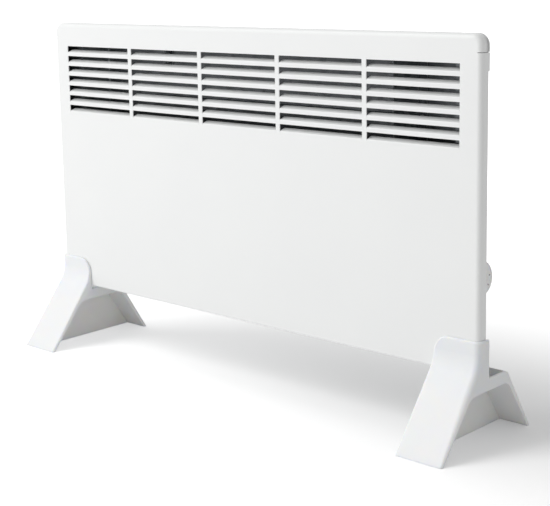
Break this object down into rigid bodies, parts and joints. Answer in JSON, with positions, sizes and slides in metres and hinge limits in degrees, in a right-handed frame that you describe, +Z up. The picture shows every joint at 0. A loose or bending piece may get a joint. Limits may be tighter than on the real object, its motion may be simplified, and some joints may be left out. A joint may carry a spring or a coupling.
{
  "type": "wall panel convector heater",
  "caption": "Slim panel convector heater with a louvred front, a side thermostat knob and rocker switch, standing on splayed sleeve feet.",
  "frame": {"origin": "on the floor, midway between the feet's front and back edges and midway across the panel", "axes": "+X to the right along the panel, seen from the front; +Y from front to back; +Z up"},
  "size_m": [0.7256, 0.177, 0.4565],
  "materials": {
    "cover_paint": "white semi-gloss powder coat on pressed steel",
    "casing_steel": "galvanised sheet steel with a fine spangle",
    "foot_plastic": "white moulded plastic with a fine satin texture",
    "knob_plastic": "white moulded plastic",
    "switch_plastic": "black moulded plastic",
    "element_sheath": "drawn steel",
    "element_aluminium": "extruded or rolled aluminium",
    "bush_ceramic": "unglazed steatite",
    "control_plastic": "cream heat-resistant plastic",
    "grommet_rubber": "black rubber",
    "screw_steel": "zinc-plated steel",
    "earth_brass": "plain brass",
    "brown_insulation": "brown silicone insulation",
    "blue_insulation": "blue silicone insulation",
    "green_insulation": "green and yellow silicone insulation"
  },
  "bodies": {
    "heater": {"front_cover": "cover_paint", "rear_casing": "casing_steel", "left_element_bracket": "casing_steel", "right_element_bracket": "casing_steel", "control_partition": "casing_steel", "left_foot": "foot_plastic", "right_foot": "foot_plastic", "switch_frame": "switch_plastic", "element_rod": "element_sheath", "thermal_cutout": "element_sheath", "element_fins": "element_aluminium", "heat_shield": "element_aluminium", "shield_rivet_1": "element_aluminium", "shield_rivet_2": "element_aluminium", "shield_rivet_3": "element_aluminium", "shield_rivet_4": "element_aluminium", "cutout_rivet_1": "element_aluminium", "cutout_rivet_2": "element_aluminium", "left_element_bush": "bush_ceramic", "right_element_bush": "bush_ceramic", "thermostat_body": "control_plastic", "terminal_block": "control_plastic", "cord_inlet": "grommet_rubber", "cover_screw_1": "screw_steel", "cover_screw_2": "screw_steel", "cover_screw_3": "screw_steel", "cover_screw_4": "screw_steel", "cover_screw_5": "screw_steel", "cover_screw_6": "screw_steel", "foot_screw_1": "screw_steel", "foot_screw_2": "screw_steel", "bracket_screw_1": "screw_steel", "bracket_screw_2": "screw_steel", "partition_screw_1": "screw_steel", "partition_screw_2": "screw_steel", "thermostat_nut": "earth_brass", "earth_screw": "earth_brass", "switch_lead": "brown_insulation", "thermostat_lead": "brown_insulation", "cutout_lead": "brown_insulation", "element_lead": "brown_insulation", "neutral_lead": "blue_insulation", "earth_lead": "green_insulation"},
    "knob": {"thermostat_knob": "knob_plastic", "thermostat_spindle": "element_sheath"},
    "rocker": {"rocker_switch": "switch_plastic"}
  },
  "joints": [
    {"name": "thermostat_knob_turn", "type": "hinge", "parent": "heater", "child": "knob", "pos_m": [0.328, 0.029, 0.181], "axis": [1, 0, 0], "range_deg": [-280, 0]},
    {"name": "main_switch_rock", "type": "hinge", "parent": "heater", "child": "rocker", "pos_m": [0.3135, 0.029, 0.243], "axis": [0, -1, 0], "range_deg": [0, 20]}
  ]
}
